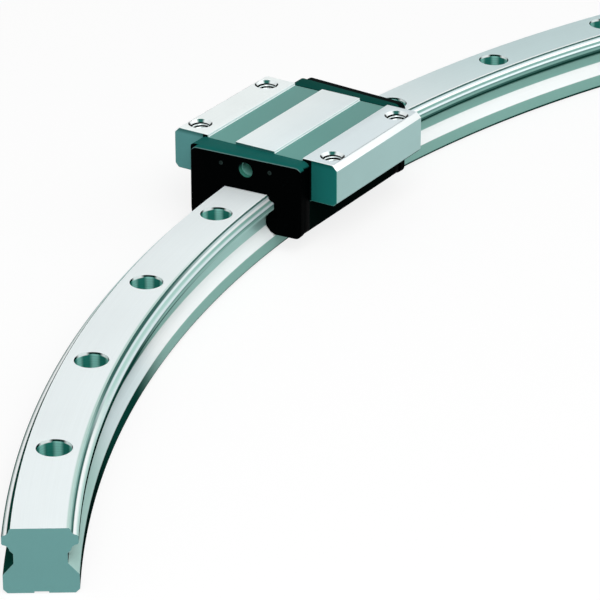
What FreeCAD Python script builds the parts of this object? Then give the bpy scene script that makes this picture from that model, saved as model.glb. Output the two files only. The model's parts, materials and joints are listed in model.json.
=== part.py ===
import FreeCAD, Part
import math
import os

# Curved ball guide: a rail bent to one radius, and a flanged carriage that travels along it.
# Millimetres and degrees. Z is up from the rail's underside, X is the carriage's direction of travel
# where it rests, over one of the rail's holes, and +Y points out of the bend. The origin is midway
# between the rail's next two holes, one each side of the carriage.

# Bend and length of the rail
BEND_RADIUS = 500.0
RAIL_ANGLE = 60.6
HOLE_PITCH = 7.0
LEAST_END_MARGIN = 4.0

# Rail section
RAIL_WIDTH = 23.0
RAIL_HEIGHT = 22.0
HEAD_HEIGHT = 8.5
HEAD_BEVEL = 2.8
WAIST_WIDTH = 16.2
WAIST_BOTTOM = 10.1
FOOT_HEIGHT = 6.2
FOOT_BEVEL = 1.3
NOTCH_WIDTH = 4.4
NOTCH_DEPTH = 0.5

# Rail screw holes
SCREW_HOLE = 7.0
COUNTERBORE = 11.0
COUNTERBORE_DEPTH = 9.0

# Four ball rows, two on each side, and the raceways ground for them
BALL_DIAMETER = 3.969
GROOVE_CONFORMITY = 0.52
GROOVE_DEPTH = 0.5

# Steel block of the carriage
BLOCK_LENGTH = 59.5
BLOCK_WIDTH = 70.0
BLOCK_TOP = 36.0
FLANGE_THICKNESS = 16.0
FLANGE_TOP_BEVEL = 2.0
FLANGE_LOW_BEVEL = 1.5
FLANGE_REACH = 11.5
SKIRT_BOTTOM = 7.0
SKIRT_BEVEL = 1.5
SKIRT_FILLET = 1.0
PAD_WIDTH = 16.8
CHANNEL_INSET = 3.25
CHANNEL_DEPTH = 1.0

# Tapped holes in the flanges
TAP_TO_SIDE = 6.5
TAP_TO_END = 7.25
TAP_DRILL = 6.8
TAP_BEVEL = 1.1

# End plates, whose outer faces lie square to the bend
PLATE_THICKNESS = 6.0
PLATE_TOP_DROP = 1.0
PLATE_CORNER = 2.5
PORT_HEIGHT = 30.0
PORT_DRILL = 5.0
PORT_DEPTH = 4.5

# End seals
SEAL_THICKNESS = 2.8
SEAL_INSET = 0.8
SEAL_PORT = 6.0

# Running clearances round the rail
BORE_GAP = 1.0
SEAL_GAP = 0.3

# Derived places
ARC_CENTRE_Y = -BEND_RADIUS * math.cos(math.radians(HOLE_PITCH))
CENTRELINE_Y = ARC_CENTRE_Y + BEND_RADIUS
GROOVE_RADIUS = GROOVE_CONFORMITY * BALL_DIAMETER
WAIST_TOP = RAIL_HEIGHT - HEAD_HEIGHT
LIP_BOTTOM = WAIST_TOP + (RAIL_WIDTH - WAIST_WIDTH) / 2
FLANGE_BOTTOM = BLOCK_TOP - FLANGE_THICKNESS
SKIRT_WIDTH = BLOCK_WIDTH - 2 * FLANGE_REACH
CHANNEL_SPAN = SKIRT_WIDTH - 2 * CHANNEL_INSET
PLATE_TOP = BLOCK_TOP - PLATE_TOP_DROP
PLATE_ANGLE = math.degrees(math.atan((BLOCK_LENGTH / 2 + PLATE_THICKNESS) / BEND_RADIUS))
UP = FreeCAD.Vector(0, 0, 1)
ALONG = FreeCAD.Vector(1, 0, 0)
ARC_CENTRE = FreeCAD.Vector(0, ARC_CENTRE_Y, 0)


def section_point(offset, height, along=0.0):
    """Point at an outward offset from the rail's centreline, on a plane square to the carriage's middle."""
    return FreeCAD.Vector(along, CENTRELINE_Y + offset, height)


def mirrored_face(half_outline, along=0.0):
    """Face whose right half is given as offsets and heights, from the top down."""
    left = [(-offset, height) for offset, height in reversed(half_outline)]
    points = [section_point(offset, height, along) for offset, height in half_outline + left]
    return Part.Face(Part.makePolygon(points + points[:1]))


def swing(shape, angle):
    """Copy of a shape turned about the bend's axis."""
    turned = shape.copy()
    turned.rotate(ARC_CENTRE, UP, angle)
    return turned


def swept(face, angle):
    """Solid swept by a face along the bend, centred on the carriage's middle."""
    return swing(face, -angle / 2).revolve(ARC_CENTRE, UP, angle)


# Rail

def rail_blank():
    """Drawn rail section before grinding: bevelled head, lips over a waist, wide foot."""
    half = RAIL_WIDTH / 2
    waist = WAIST_WIDTH / 2
    return mirrored_face([
        (half - HEAD_BEVEL, RAIL_HEIGHT),
        (half, RAIL_HEIGHT - HEAD_BEVEL),
        (half, LIP_BOTTOM),
        (waist, WAIST_TOP),
        (waist, WAIST_BOTTOM),
        (half, FOOT_HEIGHT),
        (half, FOOT_BEVEL),
        (half - FOOT_BEVEL, 0),
    ])


def raceway_discs(radius):
    """Four discs, one round each ball row, square to the bevels over and under the rail's lips."""
    stand_off = (GROOVE_RADIUS - GROOVE_DEPTH) / math.sqrt(2)
    reach = RAIL_WIDTH / 2 - HEAD_BEVEL / 2 + stand_off
    upper_row = RAIL_HEIGHT - HEAD_BEVEL / 2 + stand_off
    lower_row = LIP_BOTTOM - HEAD_BEVEL / 2 - stand_off
    discs = []
    for offset in (-reach, reach):
        for height in (upper_row, lower_row):
            circle = Part.makeCircle(radius, section_point(offset, height), ALONG)
            discs.append(Part.Face(Part.Wire(circle)))
    return discs


def main_face(shape):
    """Largest face of a flat shape."""
    return max(shape.Faces, key=lambda face: face.Area)


def ground_section():
    """Rail section with its four raceways."""
    return main_face(rail_blank().cut(raceway_discs(GROOVE_RADIUS)))


def base_notch():
    """Relief along the middle of the rail's underside."""
    half = NOTCH_WIDTH / 2
    return mirrored_face([(half, NOTCH_DEPTH), (half, 0)])


def rail_hole_angles():
    """Angles of the screw holes about the rail's middle, as many as the rail takes."""
    pitches = math.floor((RAIL_ANGLE - 2 * LEAST_END_MARGIN) / HOLE_PITCH)
    return [(index - pitches / 2) * HOLE_PITCH for index in range(pitches + 1)]


def screw_hole(angle):
    """Through hole and counterbore for one rail screw."""
    seat = RAIL_HEIGHT - COUNTERBORE_DEPTH
    through = Part.makeCylinder(SCREW_HOLE / 2, RAIL_HEIGHT, section_point(0, 0), UP)
    head = Part.makeCylinder(COUNTERBORE / 2, COUNTERBORE_DEPTH, section_point(0, seat), UP)
    return swing(through.fuse(head), angle)


def guide_rail():
    """Rail bent to the radius, one of its counterbored screw holes under the carriage."""
    section = main_face(ground_section().cut(base_notch()))
    holes = [screw_hole(angle) for angle in rail_hole_angles()]
    return swing(swept(section, RAIL_ANGLE).cut(holes), min(abs(angle) for angle in rail_hole_angles()))


# Carriage

def grown_blank(gap):
    """Rail blank section grown all round by a clearance, with sharp corners."""
    return rail_blank().makeOffset2D(gap, join=2)


def rail_bore():
    """Cutters for the block: a curved passage for the rail, and its own half of each raceway."""
    sections = [grown_blank(BORE_GAP)] + raceway_discs(GROOVE_RADIUS)
    return [swept(section, 3 * PLATE_ANGLE) for section in sections]


def at_end(shape):
    """Shape made at the carriage's middle, swung to the outer face of the +X end plate."""
    return swing(shape, -PLATE_ANGLE)


def block_blank():
    """Flanged body with a centre pad between two shallow channels, before it is bored."""
    pad = PAD_WIDTH / 2
    strip = CHANNEL_SPAN / 2
    half = BLOCK_WIDTH / 2
    skirt = SKIRT_WIDTH / 2
    floor = BLOCK_TOP - CHANNEL_DEPTH
    profile = mirrored_face([
        (pad, BLOCK_TOP),
        (pad, floor),
        (strip, floor),
        (strip, BLOCK_TOP),
        (half - FLANGE_TOP_BEVEL, BLOCK_TOP),
        (half, BLOCK_TOP - FLANGE_TOP_BEVEL),
        (half, FLANGE_BOTTOM + FLANGE_LOW_BEVEL),
        (half - FLANGE_LOW_BEVEL, FLANGE_BOTTOM),
        (skirt, FLANGE_BOTTOM),
        (skirt, SKIRT_BOTTOM + SKIRT_BEVEL),
        (skirt - SKIRT_BEVEL, SKIRT_BOTTOM),
    ], -BLOCK_LENGTH / 2)
    body = profile.extrude(ALONG * BLOCK_LENGTH)
    roots = [nearest_edge(body, section_point(side, FLANGE_BOTTOM)) for side in (-skirt, skirt)]
    return body.makeFillet(SKIRT_FILLET, roots)


def nearest_edge(body, point):
    """Edge whose middle lies nearest a point."""
    return min(body.Edges, key=lambda edge: edge.CenterOfMass.distanceToPoint(point))


def tapped_hole(along, offset):
    """Tap drill through a flange with a bevelled mouth."""
    radius = TAP_DRILL / 2
    drill = Part.makeCylinder(radius, FLANGE_THICKNESS, section_point(offset, FLANGE_BOTTOM, along), UP)
    mouth = section_point(offset, BLOCK_TOP - TAP_BEVEL, along)
    return drill.fuse(Part.makeCone(radius, radius + TAP_BEVEL, TAP_BEVEL, mouth, UP))


def carriage_block():
    """Steel block: flanges, skirt, raceway bore and four tapped holes."""
    end = BLOCK_LENGTH / 2 - TAP_TO_END
    side = BLOCK_WIDTH / 2 - TAP_TO_SIDE
    holes = [tapped_hole(along, offset) for along in (-end, end) for offset in (-side, side)]
    return block_blank().cut(rail_bore() + holes)


def plate_outline(inset, along):
    """Outline of an end plate or seal seen along the rail, round at its corners and closed across its foot."""
    half = SKIRT_WIDTH / 2 - inset - PLATE_CORNER
    core = mirrored_face([(half, PLATE_TOP - PLATE_CORNER), (half, SKIRT_BOTTOM + PLATE_CORNER)], along)
    return core.makeOffset2D(PLATE_CORNER)


def plate_plan():
    """Wedge that an end plate fills seen from above, from the block's end to the plane square to the bend."""
    half = SKIRT_WIDTH / 2
    inner = half - SEAL_INSET
    slope = math.tan(math.radians(PLATE_ANGLE))
    points = [section_point(-half, 0, BLOCK_LENGTH / 2)]
    for offset, setback in ((-half, SEAL_INSET), (-inner, 0), (inner, 0), (half, SEAL_INSET)):
        points.append(section_point(offset, 0, (BEND_RADIUS + offset) * slope - setback))
    points.append(section_point(half, 0, BLOCK_LENGTH / 2))
    return Part.Face(Part.makePolygon(points + points[:1]))


def grease_port(diameter, depth):
    """Round port that goes inwards from the carriage's middle plane."""
    return Part.makeCylinder(diameter / 2, depth, section_point(0, PORT_HEIGHT), -ALONG)


def end_plate():
    """Moulded end plate at the +X end, with a plain passage for the rail and a grease port."""
    length = 3 * PLATE_THICKNESS
    prism = plate_outline(0, BLOCK_LENGTH / 2).extrude(ALONG * length)
    body = prism.common(plate_plan().extrude(UP * BLOCK_TOP))
    passage = grown_blank(BORE_GAP).extrude(-ALONG * length)
    return body.cut([at_end(passage), at_end(grease_port(PORT_DRILL, PORT_DEPTH))])


def end_seal():
    """Wiper plate on the +X end plate, its lips close round the rail's ground section."""
    outline = plate_outline(SEAL_INSET, 0)
    wiped = main_face(grown_blank(SEAL_GAP).cut(raceway_discs(GROOVE_RADIUS - SEAL_GAP)))
    plate = outline.cut(wiped).extrude(-ALONG * SEAL_THICKNESS)
    body = plate.cut(grease_port(SEAL_PORT, SEAL_THICKNESS))
    return at_end(body.translated(ALONG * SEAL_THICKNESS))


def other_end(shape):
    """Mirror image of a +X end piece for the -X end."""
    return shape.mirror(FreeCAD.Vector(0, 0, 0), ALONG)


def carriage_pieces():
    """Carriage nodes by name."""
    plate = end_plate()
    seal = end_seal()
    return {
        "carriage_block": carriage_block(),
        "end_plate_far": plate,
        "end_plate_near": other_end(plate),
        "end_seal_far": seal,
        "end_seal_near": other_end(seal),
    }


def export(name, shape):
    """Write one node as a single clean solid and print what it measures."""
    solid = shape.removeSplitter()
    count = len(solid.Solids)
    if count != 1 or not solid.isValid():
        raise ValueError(f"{name}: {count} solids, valid {solid.isValid()}")
    solid.Solids[0].exportStep(f"parts/{name}.step")
    print(f"{name}: {solid.Volume / 1000:.2f} cm3")


os.makedirs("parts", exist_ok=True)
export("guide_rail", guide_rail())
for piece_name, piece in carriage_pieces().items():
    export(piece_name, piece)
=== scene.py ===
"""Curved ball guide: a rail bent to one radius and its flanged carriage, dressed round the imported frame.

Lengths are metres in the part's own frame: Z up from the rail's underside, X along the carriage's travel
where it rests, Y out of the bend. Colours are written as they look on a screen.
"""

import json
import logging
import math
from collections.abc import Callable, Sequence
from dataclasses import dataclass
from enum import Enum

import bmesh
import bpy
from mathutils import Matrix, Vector


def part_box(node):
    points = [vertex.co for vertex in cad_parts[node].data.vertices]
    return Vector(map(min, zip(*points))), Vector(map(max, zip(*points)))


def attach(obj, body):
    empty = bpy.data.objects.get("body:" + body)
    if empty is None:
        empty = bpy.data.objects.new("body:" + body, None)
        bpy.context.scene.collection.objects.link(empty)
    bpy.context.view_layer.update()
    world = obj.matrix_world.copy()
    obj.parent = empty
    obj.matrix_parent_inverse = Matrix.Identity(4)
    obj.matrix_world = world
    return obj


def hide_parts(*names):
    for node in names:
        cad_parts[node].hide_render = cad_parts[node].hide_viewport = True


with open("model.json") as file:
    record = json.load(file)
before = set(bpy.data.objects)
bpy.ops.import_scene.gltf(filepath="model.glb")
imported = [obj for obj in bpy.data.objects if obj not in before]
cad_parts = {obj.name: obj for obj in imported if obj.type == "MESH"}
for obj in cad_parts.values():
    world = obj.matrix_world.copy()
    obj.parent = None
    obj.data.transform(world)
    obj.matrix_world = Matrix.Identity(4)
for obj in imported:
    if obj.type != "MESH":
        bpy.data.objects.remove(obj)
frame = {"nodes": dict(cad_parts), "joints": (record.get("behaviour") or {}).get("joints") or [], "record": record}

log = logging.getLogger("curved_guide")

MM = 0.001

# Points nearer to each other than this are one point
WELD = 0.002 * MM

# Specular level of bare steel, and of resin and rubber
STEEL_GLOSS = 0.0
RESIN_GLOSS = 0.005

# Sockets of a Mix node for colours
MIX_FACTOR, MIX_FIRST, MIX_SECOND, MIX_RESULT = 0, 6, 7, 2

Socket = bpy.types.NodeSocket
Feed = Socket | float | int | bool | tuple | Vector | bpy.types.ID
Point2 = tuple[float, float]
Point3 = tuple[float, float, float]
Span = tuple[float, float]


class Body(Enum):
    """Bodies of the frame that pieces ride on."""

    RAIL = "rail"
    CARRIAGE = "carriage"


class Slot(Enum):
    """Material slots of the record."""

    RAIL = "rail_steel"
    BLOCK = "block_steel"
    PLATE = "end_resin"
    SEAL = "seal_rubber"


class End(Enum):
    """Ends of the carriage, with the side of X that each one faces."""

    NEAR = -1
    FAR = 1

    @property
    def label(self) -> str:
        """Name of the end as the nodes use it."""
        return self.name.lower()


def shade(code: str) -> tuple[float, float, float, float]:
    """Turns a screen colour into the linear colour that a shader takes.

    Args:
        code: Six hexadecimal digits after a hash sign.

    Returns:
        Linear red, green, blue and an alpha of 1.
    """
    linear = []
    for start in (1, 3, 5):
        level = int(code[start:start + 2], 16) / 255
        linear.append(level / 12.92 if level <= 0.04045 else ((level + 0.055) / 1.055) ** 2.4)
    return (*linear, 1.0)


def grey(level: float) -> tuple[float, float, float, float]:
    """Returns a linear grey."""
    return (level, level, level, 1.0)


def under(face: float, skin: Span) -> Span:
    """Turns two depths under a face into places."""
    return face - skin[0], face - skin[1]


class Sheet:
    """A node tree with short calls that add nodes and link them."""

    def __init__(self, tree: bpy.types.NodeTree) -> None:
        """Keeps the tree that the calls work on."""
        self.tree = tree

    def feed(self, socket: Socket, value: Feed) -> None:
        """Links a socket to another one, or sets its plain value.

        Args:
            socket: The input that is fed.
            value: An output of another node, or a plain value.
        """
        if isinstance(value, Socket):
            self.tree.links.new(value, socket)
        else:
            socket.default_value = value

    def add(
        self, kind: str, inputs: dict[str | int, Feed] | None = None, **settings: object,
    ) -> bpy.types.Node:
        """Adds one node.

        Args:
            kind: Blender's name of the node type.
            inputs: Sockets or plain values, by input name or number.
            settings: Properties of the node.

        Returns:
            The new node.
        """
        node = self.tree.nodes.new(kind)
        for name, value in settings.items():
            setattr(node, name, value)
        for key, value in (inputs or {}).items():
            self.feed(node.inputs[key], value)
        return node

    def math(self, operation: str, *values: Feed, clamp: bool = False) -> Socket:
        """Adds a Math node on the given values and returns its result."""
        node = self.add("ShaderNodeMath", dict(enumerate(values)), operation=operation, use_clamp=clamp)
        return node.outputs[0]

    def rise(self, value: Feed, low: float, high: float) -> Socket:
        """Returns a smooth rise from 0 at one value to 1 at a higher one."""
        inputs = {"Value": value, "From Min": low, "From Max": high}
        return self.add("ShaderNodeMapRange", inputs, interpolation_type="SMOOTHSTEP").outputs["Result"]

    def fall(self, value: Feed, low: float, high: float) -> Socket:
        """Returns a smooth fall from 1 at one value to 0 at a higher one."""
        return self.math("SUBTRACT", 1.0, self.rise(value, low, high))

    def above(self, value: Feed, edge: float, fade: float) -> Socket:
        """Returns a mask of what lies above an edge, faded to both sides of it."""
        return self.rise(value, edge - fade, edge + fade)

    def below(self, value: Feed, edge: float, fade: float) -> Socket:
        """Returns a mask of what lies below an edge, faded to both sides of it."""
        return self.fall(value, edge - fade, edge + fade)

    def wave(self, angle: Feed, count: int) -> Socket:
        """Returns a wave that comes a number of times in one turn."""
        return self.math("COSINE", self.math("MULTIPLY", angle, float(count)))

    def both(self, *masks: Feed) -> Socket:
        """Multiplies masks.

        Args:
            masks: Two or more masks.

        Returns:
            Their product.
        """
        product = masks[0]
        for mask in masks[1:]:
            product = self.math("MULTIPLY", product, mask)
        return product

    def mix(self, factor: Feed, first: Feed, second: Feed, blend: str = "MIX") -> Socket:
        """Mixes two colours.

        Args:
            factor: Share of the second colour.
            first: First colour.
            second: Second colour.
            blend: Blender's name of the way they mix.

        Returns:
            The mixed colour.
        """
        inputs = {MIX_FACTOR: factor, MIX_FIRST: first, MIX_SECOND: second}
        node = self.add("ShaderNodeMix", inputs, data_type="RGBA", blend_type=blend)
        return node.outputs[MIX_RESULT]

    def toned(self, colour: Feed, tone: Feed) -> Socket:
        """Returns a colour times a tone."""
        return self.mix(1.0, colour, tone, "MULTIPLY")

    def vary(self, factor: Feed, low: float, high: float, least: float = 0.0) -> Socket:
        """Returns a value between two limits, by a mask that goes from its least value to 1."""
        inputs = {"Value": factor, "From Min": least, "To Min": low, "To Max": high}
        return self.add("ShaderNodeMapRange", inputs).outputs["Result"]

    def distance(self, first: Feed, second: Feed) -> Socket:
        """Returns the length of a step that has two square parts."""
        squares = [self.math("MULTIPLY", part, part) for part in (first, second)]
        return self.math("SQRT", self.math("ADD", *squares))


@dataclass(frozen=True)
class BendLine:
    """Line that the rail follows, with angles from the carriage's middle towards the far end."""

    radius: float
    centre_y: float
    near_angle: float
    far_angle: float

    @classmethod
    def from_frame(cls) -> "BendLine":
        """Reads the centre from the joint, the radius from the carriage and the ends from the rail.

        Returns:
            The line.
        """
        centre_y = frame["joints"][0]["pos_m"][1]
        low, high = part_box("carriage_block")
        corners = [vertex.co for vertex in frame["nodes"]["guide_rail"].data.vertices]
        angles = [math.atan2(corner.x, corner.y - centre_y) for corner in corners]
        return cls((low.y + high.y) / 2 - centre_y, centre_y, min(angles), max(angles))

    @property
    def middle_y(self) -> float:
        """Y of the line at the carriage's middle."""
        return self.centre_y + self.radius

    @property
    def sweep(self) -> float:
        """Angle from the near end to the far end."""
        return self.far_angle - self.near_angle

    def along(self, angle: float) -> float:
        """Length along the line up to an angle."""
        return angle * self.radius

    def angle(self, place: Vector) -> float:
        """Angle of a place about the bend's centre."""
        return math.atan2(place.x, place.y - self.centre_y)

    def aside(self, place: Vector) -> float:
        """Distance of a place from the line, seen from above."""
        return abs(math.hypot(place.x, place.y - self.centre_y) - self.radius)


class ShaderGroups:
    """Effects that several finishes share, each one a node group made once."""

    edge_likeness: Span = (0.80, 0.995)
    edge_samples: int = 6
    worn_patches: Span = (0.25, 0.6)

    def __init__(self, bend: BendLine) -> None:
        """Builds the groups.

        Args:
            bend: Line that the part follows.
        """
        self.bend_place = self._bend_place(bend)
        self.grinding = self._grinding()
        self.clouds = self._clouds()
        self.edge_wear = self._edge_wear()

    @staticmethod
    def _open(
        name: str, inputs: dict[str, float | None], outputs: dict[str, str],
    ) -> tuple[Sheet, dict[str, Socket], bpy.types.Node]:
        """Starts a group.

        Args:
            name: The group's name.
            inputs: Named values with their defaults; a default of None makes a vector.
            outputs: Named outputs with their socket types.

        Returns:
            The group's sheet, its input sockets by name, and its output node.
        """
        tree = bpy.data.node_groups.new(name, "ShaderNodeTree")
        for label, default in inputs.items():
            kind = "NodeSocketVector" if default is None else "NodeSocketFloat"
            socket = tree.interface.new_socket(label, in_out="INPUT", socket_type=kind)
            if default is not None:
                socket.default_value = default
        for label, kind in outputs.items():
            tree.interface.new_socket(label, in_out="OUTPUT", socket_type=kind)
        sheet = Sheet(tree)
        source = sheet.add("NodeGroupInput")
        return sheet, {label: source.outputs[label] for label in inputs}, sheet.add("NodeGroupOutput")

    @classmethod
    def _bend_place(cls, bend: BendLine) -> bpy.types.NodeTree:
        """Place on the bent rail: length along it, offset out of the bend, and height.

        Args:
            bend: Line that gives the radius and the centre.

        Returns:
            The group.
        """
        inputs = {"Bend Radius": bend.radius, "Bend Centre Y": bend.centre_y}
        outputs = {
            "Along": "NodeSocketFloat", "Offset": "NodeSocketFloat", "Height": "NodeSocketFloat",
            "Path": "NodeSocketVector",
        }
        sheet, given, out = cls._open("bend_place", inputs, outputs)
        place = sheet.add("ShaderNodeTexCoord").outputs["Object"]
        x, y, z = sheet.add("ShaderNodeSeparateXYZ", {0: place}).outputs
        reach = sheet.math("SUBTRACT", y, given["Bend Centre Y"])
        offset = sheet.math("SUBTRACT", sheet.distance(x, reach), given["Bend Radius"])
        along = sheet.math("MULTIPLY", sheet.math("ARCTAN2", x, reach), given["Bend Radius"])
        path = sheet.add("ShaderNodeCombineXYZ", {0: along, 1: offset, 2: z}).outputs[0]
        for label, socket in (("Along", along), ("Offset", offset), ("Height", z), ("Path", path)):
            sheet.feed(out.inputs[label], socket)
        return sheet.tree

    @classmethod
    def _grinding(cls) -> bpy.types.NodeTree:
        """Fine lines that run along X of the given place.

        Returns:
            The group.
        """
        inputs = {"Place": None, "Line Length": 40 * MM, "Line Pitch": 0.45 * MM}
        sheet, given, out = cls._open("grinding_lines", inputs, {"Lines": "NodeSocketFloat"})
        x, y, z = sheet.add("ShaderNodeSeparateXYZ", {0: given["Place"]}).outputs
        stretched = sheet.add("ShaderNodeCombineXYZ", {
            0: sheet.math("DIVIDE", x, given["Line Length"]),
            1: sheet.math("DIVIDE", y, given["Line Pitch"]),
            2: sheet.math("DIVIDE", z, given["Line Pitch"]),
        }).outputs[0]
        noise = sheet.add("ShaderNodeTexNoise", {
            "Vector": stretched, "Scale": 1.0, "Detail": 3.0, "Roughness": 0.6,
        })
        sheet.feed(out.inputs["Lines"], noise.outputs[0])
        return sheet.tree

    @classmethod
    def _clouds(cls) -> bpy.types.NodeTree:
        """Soft uneven tone of handled or moulded material.

        Returns:
            The group.
        """
        inputs = {"Place": None, "Size": 12 * MM}
        sheet, given, out = cls._open("cloudy_tone", inputs, {"Tone": "NodeSocketFloat"})
        scale = sheet.math("DIVIDE", 1.0, given["Size"])
        noise = sheet.add("ShaderNodeTexNoise", {"Vector": given["Place"], "Scale": scale, "Detail": 4.0})
        sheet.feed(out.inputs["Tone"], noise.outputs[0])
        return sheet.tree

    @classmethod
    def _edge_wear(cls) -> bpy.types.NodeTree:
        """Mask of the edges that hands and tools polish.

        Returns:
            The group.
        """
        inputs = {"Place": None, "Reach": 0.4 * MM, "Patch": 6 * MM}
        sheet, given, out = cls._open("edge_wear", inputs, {"Mask": "NodeSocketFloat"})
        bevel = sheet.add("ShaderNodeBevel", {"Radius": given["Reach"]}, samples=cls.edge_samples)
        normals = {0: bevel.outputs["Normal"], 1: sheet.add("ShaderNodeNewGeometry").outputs["Normal"]}
        likeness = sheet.add("ShaderNodeVectorMath", normals, operation="DOT_PRODUCT").outputs["Value"]
        edge = sheet.fall(likeness, *cls.edge_likeness)
        scale = sheet.math("DIVIDE", 1.0, given["Patch"])
        noise = sheet.add("ShaderNodeTexNoise", {"Vector": given["Place"], "Scale": scale, "Detail": 2.0})
        patches = sheet.rise(noise.outputs[0], *cls.worn_patches)
        sheet.feed(out.inputs["Mask"], sheet.both(edge, patches))
        return sheet.tree


class MaterialSheet(Sheet):
    """Tree of one material, closed on a Principled shader."""

    bare_brightness: Span = (0.03, 0.4)

    def __init__(self, name: str) -> None:
        """Opens a material with an empty tree.

        Args:
            name: The material's name.
        """
        self.material = bpy.data.materials.new(name)
        self.material.use_nodes = True
        self.material.node_tree.nodes.clear()
        super().__init__(self.material.node_tree)

    def effect(self, tree: bpy.types.NodeTree, **values: Feed) -> bpy.types.NodeOutputs:
        """Places a shared effect, its input names with underscores for spaces; returns its outputs."""
        inputs = {label.replace("_", " "): value for label, value in values.items()}
        return self.add("ShaderNodeGroup", inputs, node_tree=tree).outputs

    def bare_metal(self, colour: Socket, most: float) -> Socket:
        """Returns how metallic a steel surface is: fully where its colour is bright, not at all where it is dark.
        """
        brightness = self.add("ShaderNodeRGBToBW", {0: colour}).outputs[0]
        return self.math("MULTIPLY", self.rise(brightness, *self.bare_brightness), most)

    def close(self, surface: dict[str, Feed], relief: Socket, depth: float) -> bpy.types.Material:
        """Ends the material.

        Args:
            surface: Inputs of the Principled shader.
            relief: Height over the surface.
            depth: Real depth of the relief.

        Returns:
            The finished material.
        """
        bump = self.add("ShaderNodeBump", {"Strength": 1.0, "Distance": depth, "Height": relief})
        inputs = {**surface, "Normal": bump.outputs["Normal"]}
        shader = self.add("ShaderNodeBsdfPrincipled", inputs)
        self.add("ShaderNodeOutputMaterial", {"Surface": shader.outputs["BSDF"]})
        return self.material


def arc_points(centre: Point2, radius: float, start: float, stop: float, steps: int) -> list[Point2]:
    """Points on an arc, its ends included.

    Args:
        centre: Centre of the arc.
        radius: Its radius.
        start: First angle, in radians.
        stop: Last angle, in radians.
        steps: Number of equal steps between them.

    Returns:
        One more point than steps.
    """
    x, y = centre
    angles = [start + (stop - start) * step / steps for step in range(steps + 1)]
    return [(x + radius * math.cos(angle), y + radius * math.sin(angle)) for angle in angles]


def rounded_corner(
    before: Point2, corner: Point2, after: Point2, radius: float, steps: int = 3,
) -> list[Point2]:
    """Points that round one corner of an outline.

    Args:
        before: The point before the corner.
        corner: The corner.
        after: The point after it.
        radius: Radius of the round.
        steps: Number of straight steps on the round.

    Returns:
        Points from the start of the round to its end.
    """
    here = Vector(corner)
    back = (Vector(before) - here).normalized()
    ahead = (Vector(after) - here).normalized()
    half = back.angle(ahead) / 2
    reach = radius / math.tan(half)
    centre = here + (back + ahead).normalized() * radius / math.sin(half)
    first = here + back * reach - centre
    last = here + ahead * reach - centre
    points = []
    for step in range(steps + 1):
        spoke = first.lerp(last, step / steps).normalized() * radius
        points.append(tuple(centre + spoke))
    return points


def lathe(name: str, profile: Sequence[Point2], sides: int) -> bpy.types.Object:
    """Closed body turned about Z.

    Args:
        name: Name of the object.
        profile: Radii and heights, from the foot's ring to the last one; both are capped.
        sides: Number of sides.

    Returns:
        An object that isn't in the scene yet.
    """
    shape = bmesh.new()
    turns = [2 * math.pi * step / sides for step in range(sides)]
    rings = []
    for radius, height in profile:
        places = [(radius * math.cos(turn), radius * math.sin(turn), height) for turn in turns]
        rings.append([shape.verts.new(place) for place in places])
    for lower, upper in zip(rings, rings[1:]):
        for step in range(sides):
            after = (step + 1) % sides
            shape.faces.new((lower[step], lower[after], upper[after], upper[step]))
    shape.faces.new(list(reversed(rings[0])))
    shape.faces.new(rings[-1])
    mesh = bpy.data.meshes.new(name)
    shape.to_mesh(mesh)
    shape.free()
    return bpy.data.objects.new(name, mesh)


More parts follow.
